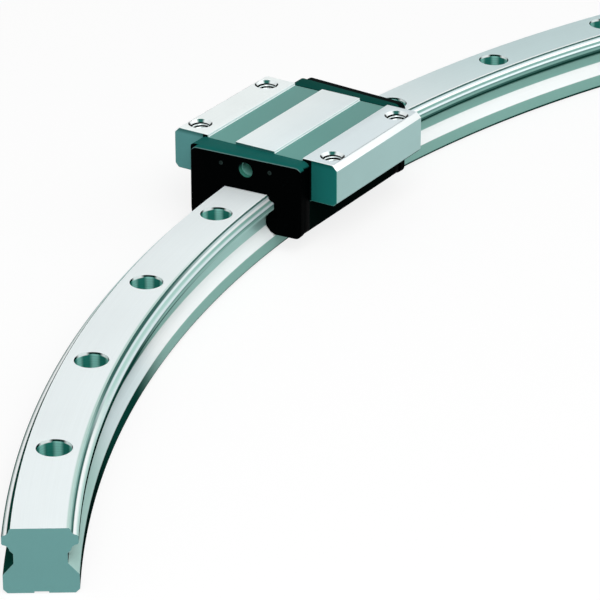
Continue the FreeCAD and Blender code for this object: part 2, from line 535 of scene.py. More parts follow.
@dataclass(frozen=True)
class RailSection:
    """Cross-section of the rail: offsets from its centreline and heights from its underside."""

    width: float = 23 * MM
    height: float = 22 * MM
    head_bevel: float = 2.8 * MM
    waist_width: float = 16.2 * MM
    waist_top: float = 13.5 * MM
    waist_bottom: float = 10.1 * MM
    foot_height: float = 6.2 * MM
    foot_bevel: float = 1.3 * MM
    notch_width: float = 4.4 * MM
    notch_depth: float = 0.5 * MM
    groove_radius: float = 2.064 * MM
    groove_depth: float = 0.5 * MM
    groove_steps: int = 14
    ground_edge: float = 0.12 * MM
    drawn_edge: float = 0.4 * MM

    @property
    def lip_top(self) -> float:
        """Height where the lip's side meets the bevel over it."""
        return self.height - self.head_bevel

    @property
    def lip_bottom(self) -> float:
        """Height where the lip's side meets its sloping underside."""
        return self.waist_top + (self.width - self.waist_width) / 2

    @property
    def top_half(self) -> float:
        """Half the width of the flat top."""
        return self.width / 2 - self.head_bevel

    def groove(self, height: float, upwards: int) -> list[Point2]:
        """Raceway in the middle of a bevel, from its higher end down.

        Args:
            height: Height of the bevel's corner on the lip's side.
            upwards: 1 for the bevel over the lip, -1 for the one under it.

        Returns:
            Points on the raceway's arc.
        """
        stand_off = self.groove_radius - self.groove_depth
        step = stand_off / math.sqrt(2)
        half_bevel = self.head_bevel / 2
        centre = (self.width / 2 - half_bevel + step, height + upwards * (half_bevel + step))
        half_turn = math.acos(stand_off / self.groove_radius)
        middle = math.pi + upwards * math.pi / 4
        start, stop = middle - half_turn, middle + half_turn
        return arc_points(centre, self.groove_radius, start, stop, self.groove_steps)

    def half_outline(self) -> list[Point2]:
        """Outer half of the section, from the top face down to the relief in the underside.

        Returns:
            Its points, with rounded corners.
        """
        half = self.width / 2
        waist = self.waist_width / 2
        notch = self.notch_width / 2
        corners = [
            ((0, self.height), 0.0),
            ((self.top_half, self.height), self.ground_edge),
            *[(point, 0.0) for point in self.groove(self.lip_top, 1)],
            ((half, self.lip_top), self.ground_edge),
            ((half, self.lip_bottom), self.ground_edge),
            *[(point, 0.0) for point in self.groove(self.lip_bottom, -1)],
            ((waist, self.waist_top), self.drawn_edge),
            ((waist, self.waist_bottom), self.drawn_edge),
            ((half, self.foot_height), self.drawn_edge),
            ((half, self.foot_bevel), self.drawn_edge),
            ((half - self.foot_bevel, 0), self.drawn_edge),
            ((notch, 0), self.ground_edge),
            ((notch, self.notch_depth), self.ground_edge),
            ((0, self.notch_depth), 0.0),
        ]
        outline = []
        for (before, _), (corner, radius), (after, _) in zip(corners, corners[1:], corners[2:]):
            outline += rounded_corner(before, corner, after, radius) if radius else [corner]
        return outline

    def curve(self, name: str) -> bpy.types.Object:
        """Closed profile for a sweep, with heights turned down as the sweep expects them.

        Args:
            name: Name of the object.

        Returns:
            A curve that isn't in the scene yet.
        """
        half = self.half_outline()
        points = half + [(-offset, height) for offset, height in reversed(half)]
        data = bpy.data.curves.new(name, "CURVE")
        data.dimensions = "3D"
        spline = data.splines.new("POLY")
        spline.points.add(len(points) - 1)
        for target, (offset, height) in zip(spline.points, points):
            target.co = (offset, -height, 0, 1)
        spline.use_cyclic_u = True
        return bpy.data.objects.new(name, data)


@dataclass(frozen=True)
class RailHoles:
    """The rail's screw holes: through bore, counterbore and a mouth that flares a little."""

    bore: float = 7 * MM
    counterbore: float = 11 * MM
    counterbore_depth: float = 9 * MM
    mouth_flare: float = 0.28 * MM
    mouth_depth: float = 0.9 * MM
    pitch: float = math.radians(7)
    count: int = 8
    sides: int = 64
    spare: float = 1 * MM

    @property
    def span(self) -> float:
        """Angle from the first hole to the last one."""
        return (self.count - 1) * self.pitch

    def cutter(self, top: float) -> bpy.types.Object:
        """Body that cuts one hole, with spare length at both ends.

        Args:
            top: Height of the rail's top.

        Returns:
            An object that isn't in the scene yet.
        """
        seat = top - self.counterbore_depth
        bore, wide = self.bore / 2, self.counterbore / 2
        slope = self.mouth_flare / self.mouth_depth
        profile = [
            (bore, -self.spare), (bore, seat), (wide, seat), (wide, top - self.mouth_depth),
            (wide + self.mouth_flare + slope * self.spare, top + self.spare),
        ]
        return lathe("rail_hole_cutter", profile, self.sides)


class Tone(Enum):
    """Steps of the rail's painted shade, shadow and reflections, from black shadow to a bright highlight."""

    BLACK_SCALE = "#021a16"
    GREEN_SCALE = "#0c3f36"
    THIN_SCALE = "#3a655e"
    STAINED = "#5f8a84"
    WORN = "#84b1a8"
    DULL = "#b0d4cd"
    GROUND = "#dcecee"
    BRIGHT = "#fafefe"


@dataclass(frozen=True)
class Surface:
    """One surface of the rail's side, between two heights, with its tone on each stretch of the rail.

    The painted shade, shadow and reflections change along the rail. Inside the bend they go from the close end by
    the middle to the far part; outside they go from the outer tone to the same far part.
    """

    bottom: float
    top: float
    close: Tone
    middle: Tone
    far: Tone
    outer: Tone


# Painted shade, shadow and reflections on the rail's side: dark bands where the side lies under the lip or faces
# down, bright lines in the raceways and on the up-facing foot slopes
RAIL_SURFACES = (
    # Bevel, side and slope of the foot
    Surface(0.0 * MM, 1.5 * MM, Tone.BLACK_SCALE, Tone.BLACK_SCALE, Tone.GREEN_SCALE, Tone.GREEN_SCALE),
    Surface(1.65 * MM, 6.0 * MM, Tone.BLACK_SCALE, Tone.GREEN_SCALE, Tone.WORN, Tone.THIN_SCALE),
    Surface(6.3 * MM, 9.9 * MM, Tone.DULL, Tone.GROUND, Tone.BRIGHT, Tone.GREEN_SCALE),
    # Waist, and the lip's underside with its lower raceway
    Surface(10.2 * MM, 13.4 * MM, Tone.BLACK_SCALE, Tone.GREEN_SCALE, Tone.WORN, Tone.BLACK_SCALE),
    Surface(14.8 * MM, 15.2 * MM, Tone.BLACK_SCALE, Tone.GREEN_SCALE, Tone.GREEN_SCALE, Tone.BLACK_SCALE),
    Surface(16.6 * MM, 17.4 * MM, Tone.BLACK_SCALE, Tone.GREEN_SCALE, Tone.THIN_SCALE, Tone.GREEN_SCALE),
    # Lip's side and its upper edge
    Surface(17.7 * MM, 18.2 * MM, Tone.BLACK_SCALE, Tone.GREEN_SCALE, Tone.WORN, Tone.THIN_SCALE),
    Surface(18.8 * MM, 18.9 * MM, Tone.GREEN_SCALE, Tone.THIN_SCALE, Tone.STAINED, Tone.THIN_SCALE),
    # Land under the upper raceway, the raceway's flank, floor and flank, and the edge of the top
    Surface(19.2 * MM, 19.6 * MM, Tone.DULL, Tone.GROUND, Tone.GROUND, Tone.THIN_SCALE),
    Surface(19.75 * MM, 20.05 * MM, Tone.BRIGHT, Tone.DULL, Tone.WORN, Tone.BRIGHT),
    Surface(20.2 * MM, 20.6 * MM, Tone.THIN_SCALE, Tone.GROUND, Tone.BRIGHT, Tone.GREEN_SCALE),
    Surface(20.9 * MM, 21.3 * MM, Tone.WORN, Tone.THIN_SCALE, Tone.GROUND, Tone.GREEN_SCALE),
    Surface(21.6 * MM, 21.9 * MM, Tone.DULL, Tone.THIN_SCALE, Tone.THIN_SCALE, Tone.GREEN_SCALE),
)


@dataclass(frozen=True)
class RailSteel:
    """Drawn rail steel: ground top, raceways and foot slopes, sawn ends, reamed holes, with painted shade on the
    waist, painted reflections in the raceways and a painted sheen in the holes.

    Runs are counted along the rail from its close end, and skins are depths under a face. A pair holds the
    two values that a mask fades between.
    """

    groups: ShaderGroups
    bend: BendLine
    section: RailSection
    holes: RailHoles

    ground: str = "#f3fbfc"
    # Painted shade on the top beyond the carriage's middle
    ground_away: str = "#cfe4e5"
    # Painted shade along the top's inner edge at the close end, turning into a painted highlight further on
    edge: str = "#c3ddd7"
    edge_away: str = "#f8ffff"
    # Painted light on the waist and the lip's underside just before the carriage
    cleared: str = "#a9d1cb"
    sawn: str = "#6d9e9c"
    reamed: str = "#2c8074"
    # Painted sheen on the holes' walls
    reamed_sheen: str = "#a4e8de"
    mouth: str = "#f4fbfb"
    # Painted dark reflections in the holes' mouths
    mouth_mark: str = "#03211c"
    polished: str = "#f2f8f8"

    # Runs over which the painted shade and reflections change along the rail
    close_run: Span = (50 * MM, 105 * MM)
    low_run: Span = (122 * MM, 165 * MM)
    head_run: Span = (150 * MM, 240 * MM)
    outer_run: Span = (110 * MM, 190 * MM)
    cleared_fade: float = 40 * MM
    ground_fade: float = 150 * MM
    side_fade: float = 1 * MM
    head_fade: float = 0.3 * MM
    waist_fade: float = 0.1 * MM
    slope_fade: float = 0.2 * MM
    lip_heights: Span = (17.5 * MM, 17.9 * MM)
    edge_skin: Span = (1.0 * MM, 0.4 * MM)
    top_skin: Span = (0.05 * MM, 0.02 * MM)
    end_skin: Span = (0.08 * MM, 0.04 * MM)

    hole_offsets: Span = (5.9 * MM, 6.2 * MM)
    hole_heights: Span = (0.6 * MM, 0.8 * MM)
    sheen_turn: float = math.radians(66)
    sheen_count: int = 6
    sheen_fade: Span = (-0.6, 1.0)
    ring_pitch: float = 0.9 * MM
    ring_tone: Span = (0.94, 1.04)
    mark_count: int = 4
    mark_fade: Span = (-0.7, 0.4)
    mark_skin: float = 0.5 * MM
    mouth_fade: float = 0.1 * MM

    tone: Span = (0.96, 1.04)
    cloud_size: float = 35 * MM
    wear_reach: float = 0.2 * MM
    wear_share: float = 0.2
    roughness: Span = (0.24, 0.5)
    side_lines: float = 0.6
    metal: float = 0.35
    matt_share: float = 0.1
    line_depth: float = 0.006 * MM

    def ramp(self, sheet: Sheet, place: Socket, tones: Sequence[Tone]) -> Socket:
        """Colour ramp over the section's height, plain on each surface and soft between two.

        Args:
            sheet: The material's sheet.
            place: Height as a share of the section's height.
            tones: One tone for each surface.

        Returns:
            The ramp's colour.
        """
        edges = []
        for surface, tone in zip(RAIL_SURFACES, tones):
            edges += [(surface.bottom, tone), (surface.top, tone)]
        node = sheet.add("ShaderNodeValToRGB", {0: place})
        stops = node.color_ramp.elements
        while len(stops) < len(edges):
            stops.new(1.0)
        for stop, (height, tone) in zip(stops, edges):
            stop.position = height / self.section.height
            stop.color = shade(tone.value)
        return node.outputs["Color"]

    def reached(self, sheet: Sheet, along: Socket, run: Span) -> Socket:
        """Mask that rises along the rail over a run."""
        start = self.bend.along(self.bend.near_angle)
        return sheet.rise(along, start + run[0], start + run[1])

    def sides(self, sheet: Sheet, along: Socket, offset: Socket, height: Socket) -> Socket:
        """Colour of the drawn and ground sides, with painted bands of shade, shadow and reflection along the rail,
        and painted light just before the carriage.

        Args:
            sheet: The material's sheet.
            along: Length along the rail.
            offset: Offset out of the bend.
            height: Height over the underside.

        Returns:
            The colour.
        """
        share = sheet.math("DIVIDE", height, self.section.height)
        close = self.ramp(sheet, share, [surface.close for surface in RAIL_SURFACES])
        middle = self.ramp(sheet, share, [surface.middle for surface in RAIL_SURFACES])
        far = self.ramp(sheet, share, [surface.far for surface in RAIL_SURFACES])
        outer = self.ramp(sheet, share, [surface.outer for surface in RAIL_SURFACES])
        lip_top = self.section.lip_top
        on_head = sheet.rise(height, lip_top - self.head_fade, lip_top)
        low_end = self.reached(sheet, along, self.low_run)
        head_end = self.reached(sheet, along, self.head_run)
        past_middle = sheet.mix(on_head, low_end, head_end)
        inner = sheet.mix(self.reached(sheet, along, self.close_run), close, middle)
        inner = sheet.mix(past_middle, inner, far)
        above_foot = sheet.above(height, self.section.waist_bottom, self.waist_fade)
        under_head = sheet.both(above_foot, sheet.fall(height, *self.lip_heights))
        # Painted light under the head just before the carriage
        cleared = sheet.both(head_end, under_head, sheet.below(along, 0.0, self.cleared_fade))
        inner = sheet.mix(cleared, inner, shade(self.cleared))
        outer = sheet.mix(self.reached(sheet, along, self.outer_run), outer, far)
        return sheet.mix(sheet.rise(offset, 0.0, self.side_fade), inner, outer)

    def top(self, sheet: Sheet, along: Socket, offset: Socket) -> Socket:
        """Colour of the ground top, with painted shade on its far part, and painted shade along its edge inside
        the bend that turns into a painted highlight along the rail.

        Args:
            sheet: The material's sheet.
            along: Length along the rail.
            offset: Offset out of the bend.

        Returns:
            The colour.
        """
        beyond = sheet.rise(along, 0.0, self.ground_fade)
        ground = sheet.mix(beyond, shade(self.ground), shade(self.ground_away))
        inwards = sheet.math("MULTIPLY", offset, -1.0)
        at_edge = sheet.rise(inwards, *under(self.section.top_half, self.edge_skin))
        edge_end = self.reached(sheet, along, self.head_run)
        edge_shade_and_highlight = sheet.mix(edge_end, shade(self.edge), shade(self.edge_away))
        return sheet.mix(at_edge, ground, edge_shade_and_highlight)

    def bores(self, sheet: Sheet, along: Socket, offset: Socket, height: Socket) -> Socket:
        """Colour of the screw holes: a painted sheen round their walls,
        and painted dark reflections in each bright mouth.

        Args:
            sheet: The material's sheet.
            along: Length along the rail.
            offset: Offset out of the bend.
            height: Height over the underside.

        Returns:
            The colour.
        """
        pitch = self.bend.along(self.holes.pitch)
        number = sheet.math("ROUND", sheet.math("DIVIDE", along, pitch))
        from_axis = sheet.math("SUBTRACT", along, sheet.math("MULTIPLY", number, pitch))
        hole_turn = sheet.math("MULTIPLY", number, self.holes.pitch)
        azimuth = sheet.math("ADD", sheet.math("ARCTAN2", from_axis, offset), hole_turn)
        turned = sheet.math("SUBTRACT", azimuth, self.sheen_turn)
        # Painted sheen round each hole
        sheen = sheet.rise(sheet.wave(turned, self.sheen_count), *self.sheen_fade)
        wall = sheet.mix(sheen, shade(self.reamed), shade(self.reamed_sheen))
        rings = sheet.math("SINE", sheet.math("MULTIPLY", height, 2 * math.pi / self.ring_pitch))
        wall = sheet.toned(wall, sheet.vary(rings, *self.ring_tone, least=-1.0))
        # Painted dark reflections in each mouth
        reflection_marks = sheet.rise(sheet.wave(turned, self.mark_count), *self.mark_fade)
        top = self.section.height
        seat = top - self.holes.mouth_depth
        mark = sheet.mix(sheet.rise(height, seat, top - self.mark_skin), wall, shade(self.mouth_mark))
        mouth = sheet.mix(reflection_marks, shade(self.mouth), mark)
        return sheet.mix(sheet.above(height, seat, self.mouth_fade), wall, mouth)

    def at_ends(self, sheet: Sheet, along: Socket) -> Socket:
        """Mask of both sawn ends.

        Args:
            sheet: The material's sheet.
            along: Length along the rail.

        Returns:
            The mask.
        """
        start = self.bend.along(self.bend.near_angle)
        stop = self.bend.along(self.bend.far_angle)
        far_face = sheet.rise(along, *under(stop, self.end_skin))
        near_face = sheet.fall(along, start + self.end_skin[1], start + self.end_skin[0])
        return sheet.math("ADD", far_face, near_face, clamp=True)

    def on_slopes(self, sheet: Sheet, height: Socket) -> Socket:
        """Mask of the foot's slopes.

        Args:
            sheet: The material's sheet.
            height: Height over the underside.

        Returns:
            The mask.
        """
        low, high = self.section.foot_height, self.section.waist_bottom
        over_foot = sheet.rise(height, low - self.slope_fade, low)
        return sheet.both(over_foot, sheet.fall(height, high, high + self.slope_fade))

    def material(self) -> bpy.types.Material:
        """Builds the material.

        Returns:
            The finished material.
        """
        sheet = MaterialSheet("rail_steel")
        place = sheet.effect(self.groups.bend_place)
        along, offset, height, path = place["Along"], place["Offset"], place["Height"], place["Path"]

        colour = self.sides(sheet, along, offset, height)
        on_top = sheet.rise(height, *under(self.section.height, self.top_skin))
        colour = sheet.mix(on_top, colour, self.top(sheet, along, offset))
        inside = sheet.fall(sheet.math("ABSOLUTE", offset), *self.hole_offsets)
        below_top = sheet.math("SUBTRACT", 1.0, on_top)
        in_hole = sheet.both(inside, below_top, sheet.rise(height, *self.hole_heights))
        colour = sheet.mix(in_hole, colour, self.bores(sheet, along, offset, height))
        at_ends = self.at_ends(sheet, along)
        colour = sheet.mix(at_ends, colour, shade(self.sawn))

        lines = sheet.effect(self.groups.grinding, Place=path)["Lines"]
        clouds = sheet.effect(self.groups.clouds, Place=path, Size=self.cloud_size)["Tone"]
        tone = sheet.both(sheet.vary(lines, *self.tone), sheet.vary(clouds, *self.tone))
        colour = sheet.toned(colour, tone)
        wear = sheet.effect(self.groups.edge_wear, Place=path, Reach=self.wear_reach)["Mask"]
        colour = sheet.mix(sheet.math("MULTIPLY", wear, self.wear_share), colour, shade(self.polished))
        coarse = sheet.math("MULTIPLY", lines, sheet.math("ADD", at_ends, self.side_lines))
        matt = sheet.math("MAXIMUM", on_top, self.on_slopes(sheet, height))
        bare = sheet.bare_metal(colour, self.metal)
        surface = {
            "Base Color": colour,
            "Roughness": sheet.vary(coarse, *self.roughness),
            "Metallic": sheet.both(bare, sheet.vary(matt, 1.0, self.matt_share)),
            "Specular IOR Level": STEEL_GLOSS,
        }
        return sheet.close(surface, lines, self.line_depth)


@dataclass(frozen=True)
class BlockSteel:
    """Milled block steel: ground pads, plain channels and sides, darker ends,
    with painted shade, shadow and highlights.

    Turns are shares of the normal along the travel, lifts are shares upwards, and skins are depths under
    the top. A pair holds the two values that a mask fades between.
    """

    groups: ShaderGroups
    bend: BendLine
    top: float
    hole_along: float
    hole_across: float

    ground: str = "#e2eef1"
    ground_outer: str = "#f4fbfa"
    channel: str = "#6c9f98"
    side: str = "#a7c8c6"
    # Painted highlight on the walls of the pads and channels
    wall: str = "#eef8f8"
    bevel: str = "#f4fafa"
    # End faces: painted light outside the bend, painted shade inside it, a darker band under the top, and painted
    # highlights on their rounded edges
    end_outer: str = "#5d9897"
    end_inner: str = "#1a6a65"
    end_dark: str = "#07423b"
    end_edge: str = "#5a998f"
    # Painted shadow under the flanges, on faces that face down, and in the gaps beside the end plates
    skirt: str = "#030d0b"
    mouth: str = "#f0f7f7"
    # Painted shadow in the tapped holes' bores
    drilled: str = "#010a08"
    # Painted dark reflections on the tapped holes' chamfers
    mark: str = "#020d0b"
    mark_along: str = "#2c665e"

    end_turn: Span = (0.6, 0.8)
    brink_turn: Span = (0.95, 0.99)
    brink_lift: Span = (0.1, 0.3)
    brim_turn: Span = (0.2, 0.4)
    slope_lift: Span = (0.3, 0.5)
    flat_lift: Span = (0.85, 0.95)
    under_lift: Span = (-0.7, -0.3)
    dark_skin: Span = (2.2 * MM, 0.6 * MM)
    dark_share: float = 0.55
    pad_skin: Span = (0.7 * MM, 0.3 * MM)
    flange_side: Span = (31 * MM, 32 * MM)
    skirt_inner: Span = (19.75 * MM, 19.85 * MM)
    skirt_outer: Span = (23.3 * MM, 23.4 * MM)
    skirt_shift: float = 0.8 * MM
    skirt_heights: Span = (19.7 * MM, 20.1 * MM)

    hole_skin: Span = (0.08 * MM, 0.02 * MM)
    hole_mouth: float = 4.5 * MM
    hole_wall: float = 3.5 * MM
    hole_fade: float = 0.05 * MM
    mark_turn: float = math.radians(32)
    mark_count: int = 4
    mark_fade: Span = (-0.2, 0.9)
    mark_along_fade: Span = (-0.5, 0.5)

    line_length: float = 60 * MM
    line_pitch: float = 0.6 * MM
    line_tone: Span = (0.97, 1.03)
    line_depth: float = 0.006 * MM
    cloud_size: float = 25 * MM
    cloud_tone: Span = (0.95, 1.05)
    wear_share: float = 0.2
    roughness: Span = (0.28, 0.46)
    metal: float = 0.35

    def faces(
        self, sheet: Sheet, across: Socket, z: Socket, facing_x: Socket, facing_z: Socket,
    ) -> Socket:
        """Colour of the block's outer faces by the way they face, with painted shade, shadow and highlights.

        Args:
            sheet: The material's sheet.
            across: Distance from the bend line.
            z: Height over the rail's underside.
            facing_x: Share of the normal along the travel.
            facing_z: Share of the normal upwards.

        Returns:
            The colour.
        """
        aside = sheet.math("ABSOLUTE", across)
        outwards = sheet.above(across, 0.0, self.hole_across)
        end_ward = sheet.math("ABSOLUTE", facing_x)

        # Painted light on the ends outside the bend and painted shade inside it
        ends = sheet.mix(outwards, shade(self.end_inner), shade(self.end_outer))
        near_top = sheet.rise(z, *under(self.top, self.dark_skin))
        ends = sheet.mix(sheet.math("MULTIPLY", near_top, self.dark_share), ends, shade(self.end_dark))
        # Painted shadow in the gaps beside the end plates
        from_plate = sheet.math("ABSOLUTE", sheet.math("ADD", across, self.skirt_shift))
        in_plate = sheet.fall(from_plate, *self.skirt_outer)
        beside = sheet.both(sheet.rise(aside, *self.skirt_inner), in_plate)
        ends = sheet.mix(beside, ends, shade(self.skirt))
        # Painted highlight on the rounded edges of the ends
        brink = sheet.both(sheet.fall(end_ward, *self.brink_turn), sheet.fall(facing_z, *self.brink_lift))
        ends = sheet.mix(brink, ends, shade(self.end_edge))

        outside = sheet.rise(aside, *self.flange_side)
        # Painted highlight on the upright walls inside the flanges' sides
        upright = sheet.mix(outside, shade(self.wall), shade(self.side))
        colour = sheet.mix(sheet.rise(end_ward, *self.end_turn), upright, ends)

        raised = sheet.rise(z, *under(self.top, self.pad_skin))
        brim = sheet.mix(raised, shade(self.channel), shade(self.wall))
        slope = sheet.mix(sheet.rise(end_ward, *self.brim_turn), shade(self.wall), brim)
        slope = sheet.mix(outside, slope, shade(self.bevel))
        colour = sheet.mix(sheet.rise(facing_z, *self.slope_lift), colour, slope)

        ground = sheet.mix(outwards, shade(self.ground), shade(self.ground_outer))
        flat = sheet.mix(raised, shade(self.channel), ground)
        colour = sheet.mix(sheet.rise(facing_z, *self.flat_lift), colour, flat)

        # Painted shadow low on the block and on faces that face down
        low = sheet.fall(z, *self.skirt_heights)
        underside = sheet.fall(facing_z, *self.under_lift)
        return sheet.mix(sheet.math("MAXIMUM", low, underside), colour, shade(self.skirt))

    def chamfer(self, sheet: Sheet, x: Socket, across: Socket) -> Socket:
        """Colour of the tapped holes' mouths, with painted dark reflections.

        Args:
            sheet: The material's sheet.
            x: Place along the travel.
            across: Distance from the bend line.

        Returns:
            The colour.
        """
        along = sheet.math("SUBTRACT", x, sheet.math("MULTIPLY", sheet.math("SIGN", x), self.hole_along))
        side = sheet.math("MULTIPLY", sheet.math("SIGN", across), self.hole_across)
        azimuth = sheet.math("ARCTAN2", sheet.math("SUBTRACT", across, side), along)
        turned = sheet.math("SUBTRACT", azimuth, self.mark_turn)
        reflection_marks = sheet.rise(sheet.wave(turned, self.mark_count), *self.mark_fade)
        lengthwise = sheet.rise(sheet.wave(turned, self.mark_count // 2), *self.mark_along_fade)
        mark = sheet.mix(lengthwise, shade(self.mark), shade(self.mark_along))
        return sheet.mix(reflection_marks, shade(self.mouth), mark)

    def material(self) -> bpy.types.Material:
        """Builds the material.

        Returns:
            The finished material.
        """
        sheet = MaterialSheet("block_steel")
        coordinates = sheet.add("ShaderNodeTexCoord").outputs
        place = coordinates["Object"]
        x, y, z = sheet.add("ShaderNodeSeparateXYZ", {0: place}).outputs
        facing_x, _, facing_z = sheet.add("ShaderNodeSeparateXYZ", {0: coordinates["Normal"]}).outputs
        across = sheet.math("SUBTRACT", y, self.bend.middle_y)
        colour = self.faces(sheet, across, z, facing_x, facing_z)

        from_along = sheet.math("SUBTRACT", sheet.math("ABSOLUTE", x), self.hole_along)
        from_across = sheet.math("SUBTRACT", sheet.math("ABSOLUTE", across), self.hole_across)
        reach = sheet.distance(from_along, from_across)
        sunk = sheet.fall(z, *under(self.top, self.hole_skin))
        in_hole = sheet.both(sheet.below(reach, self.hole_mouth, self.hole_fade), sunk)
        in_bore = sheet.below(reach, self.hole_wall, self.hole_fade)
        hole = sheet.mix(in_bore, self.chamfer(sheet, x, across), shade(self.drilled))
        colour = sheet.mix(in_hole, colour, hole)

        lines = sheet.effect(
            self.groups.grinding, Place=place, Line_Length=self.line_length, Line_Pitch=self.line_pitch,
        )["Lines"]
        clouds = sheet.effect(self.groups.clouds, Place=place, Size=self.cloud_size)["Tone"]
        tone = sheet.both(sheet.vary(lines, *self.line_tone), sheet.vary(clouds, *self.cloud_tone))
        colour = sheet.toned(colour, tone)
        wear = sheet.effect(self.groups.edge_wear, Place=place)["Mask"]
        colour = sheet.mix(sheet.math("MULTIPLY", wear, self.wear_share), colour, shade(self.bevel))
        surface = {
            "Base Color": colour,
            "Roughness": sheet.vary(lines, *self.roughness),
            "Metallic": sheet.bare_metal(colour, self.metal),
            "Specular IOR Level": STEEL_GLOSS,
        }
        return sheet.close(surface, lines, self.line_depth)


@dataclass(frozen=True)
class MouldedBlack:
    """Black moulded piece with a painted green reflection on its upper faces, and a fine grain.

    Turns are shares of the normal along the travel and lifts are shares upwards. A pair holds the two
    values that a mask fades between.
    """

    name: str
    groups: ShaderGroups
    roughness: float
    # Painted reflection on the upper faces, painted highlight on the rounded front edges, painted light in the
    # grease port
    top: str
    rim: str
    port: str
    port_height: float
    lip_along: float

    body: str = "#010202"
    top_lift: Span = (0.3, 0.6)
    top_fade: float = 0.2 * MM
    rim_lift: Span = (0.3, 0.5)
    flat_lift: Span = (0.85, 0.95)
    front_turn: Span = (0.3, 0.5)
    port_reach: float = 3.02 * MM
    port_fade: float = 0.02 * MM
    lip_fade: float = 0.3 * MM
    roof_lift: Span = (-0.6, 0.3)
    cloud_size: float = 9 * MM
    cloud_tone: Span = (0.9, 1.1)
    wear_reach: float = 0.35 * MM
    wear_share: float = 0.02
    grain_size: float = 0.5 * MM
    grain_depth: float = 0.02 * MM
    roughness_spread: float = 0.08

    def in_port(self, sheet: Sheet, place: bpy.types.NodeOutputs, facing_z: Socket) -> Socket:
        """Mask of the painted light in the grease port, which ends at a black lip
        and leaves out the roof as painted shade.

        Args:
            sheet: The material's sheet.
            place: Outputs of the place on the bend.
            facing_z: Share of the normal upwards.

        Returns:
            The mask.
        """
        over_axis = sheet.math("SUBTRACT", place["Height"], self.port_height)
        reach = sheet.distance(place["Offset"], over_axis)
        inside = sheet.below(reach, self.port_reach, self.port_fade)
        along = sheet.math("ABSOLUTE", place["Along"])
        deep = sheet.fall(along, self.lip_along, self.lip_along + self.lip_fade)
        return sheet.both(inside, deep, sheet.rise(facing_z, *self.roof_lift))

    def material(self) -> bpy.types.Material:
        """Builds the material.

        Returns:
            The finished material.
        """
        sheet = MaterialSheet(self.name)
        place = sheet.effect(self.groups.bend_place)
        path = place["Path"]
        normal = sheet.add("ShaderNodeTexCoord").outputs["Normal"]
        facing_x, _, facing_z = sheet.add("ShaderNodeSeparateXYZ", {0: normal}).outputs

        # Painted green reflection on the upper faces
        over_port = self.port_height + self.port_reach
        high = sheet.rise(place["Height"], over_port, over_port + self.top_fade)
        top_reflection = sheet.both(sheet.rise(facing_z, *self.top_lift), high)
        colour = sheet.mix(top_reflection, shade(self.body), shade(self.top))
        # Painted highlight on the rounded front edges
        rounded = sheet.both(sheet.rise(facing_z, *self.rim_lift), sheet.fall(facing_z, *self.flat_lift))
        front = sheet.rise(sheet.math("ABSOLUTE", facing_x), *self.front_turn)
        colour = sheet.mix(sheet.both(rounded, front), colour, shade(self.rim))
        # Painted light inside the grease port
        colour = sheet.mix(self.in_port(sheet, place, facing_z), colour, shade(self.port))

        clouds = sheet.effect(self.groups.clouds, Place=path, Size=self.cloud_size)["Tone"]
        colour = sheet.toned(colour, sheet.vary(clouds, *self.cloud_tone))
        wear = sheet.effect(self.groups.edge_wear, Place=path, Reach=self.wear_reach)["Mask"]
        colour = sheet.mix(sheet.math("MULTIPLY", wear, self.wear_share), colour, shade(self.rim))
        grain = sheet.effect(self.groups.clouds, Place=path, Size=self.grain_size)["Tone"]
        least, most = self.roughness - self.roughness_spread, self.roughness + self.roughness_spread
        surface = {
            "Base Color": colour,
            "Roughness": sheet.vary(grain, least, most),
            "Specular IOR Level": RESIN_GLOSS,
        }
        return sheet.close(surface, grain, self.grain_depth)


@dataclass(frozen=True)
class SmallSteel:
    """Steel of threads and small screws, with an uneven tone."""

    name: str
    groups: ShaderGroups
    bright: str
    dull: str
    roughness: float = 0.3

    cloud_size: float = 1.2 * MM
    cloud_depth: float = 0.01 * MM
    wear_reach: float = 0.15 * MM
    wear_patch: float = 2 * MM
    wear_share: float = 0.4
    roughness_spread: float = 0.1
    metal: float = 0.5

    def material(self) -> bpy.types.Material:
        """Builds the material.

        Returns:
            The finished material.
        """
        sheet = MaterialSheet(self.name)
        place = sheet.add("ShaderNodeTexCoord").outputs["Object"]
        clouds = sheet.effect(self.groups.clouds, Place=place, Size=self.cloud_size)["Tone"]
        colour = sheet.mix(clouds, shade(self.dull), shade(self.bright))
        wear = sheet.effect(
            self.groups.edge_wear, Place=place, Reach=self.wear_reach, Patch=self.wear_patch,
        )["Mask"]
        colour = sheet.mix(sheet.math("MULTIPLY", wear, self.wear_share), colour, shade(self.bright))
        least, most = self.roughness - self.roughness_spread, self.roughness + self.roughness_spread
        surface = {
            "Base Color": colour,
            "Roughness": sheet.vary(clouds, least, most),
            "Metallic": sheet.bare_metal(colour, self.metal),
            "Specular IOR Level": STEEL_GLOSS,
        }
        return sheet.close(surface, clouds, self.cloud_depth)


def plain(host: bpy.types.Object) -> bpy.types.Object:
    """Turns an object's evaluated shape into its own mesh and drops its modifiers.

    Args:
        host: The object, with its modifiers.

    Returns:
        The same object.
    """
    graph = bpy.context.evaluated_depsgraph_get()
    mesh = bpy.data.meshes.new_from_object(host.evaluated_get(graph))
    host.modifiers.clear()
    host.data = mesh
    mesh.name = host.name
    return host


def keep_sharp(mesh: bpy.types.Mesh, degrees: float) -> None:
    """Shades a mesh smooth except over edges sharper than an angle."""
    mesh.shade_smooth()
    mesh.set_sharp_from_angle(angle=math.radians(degrees))


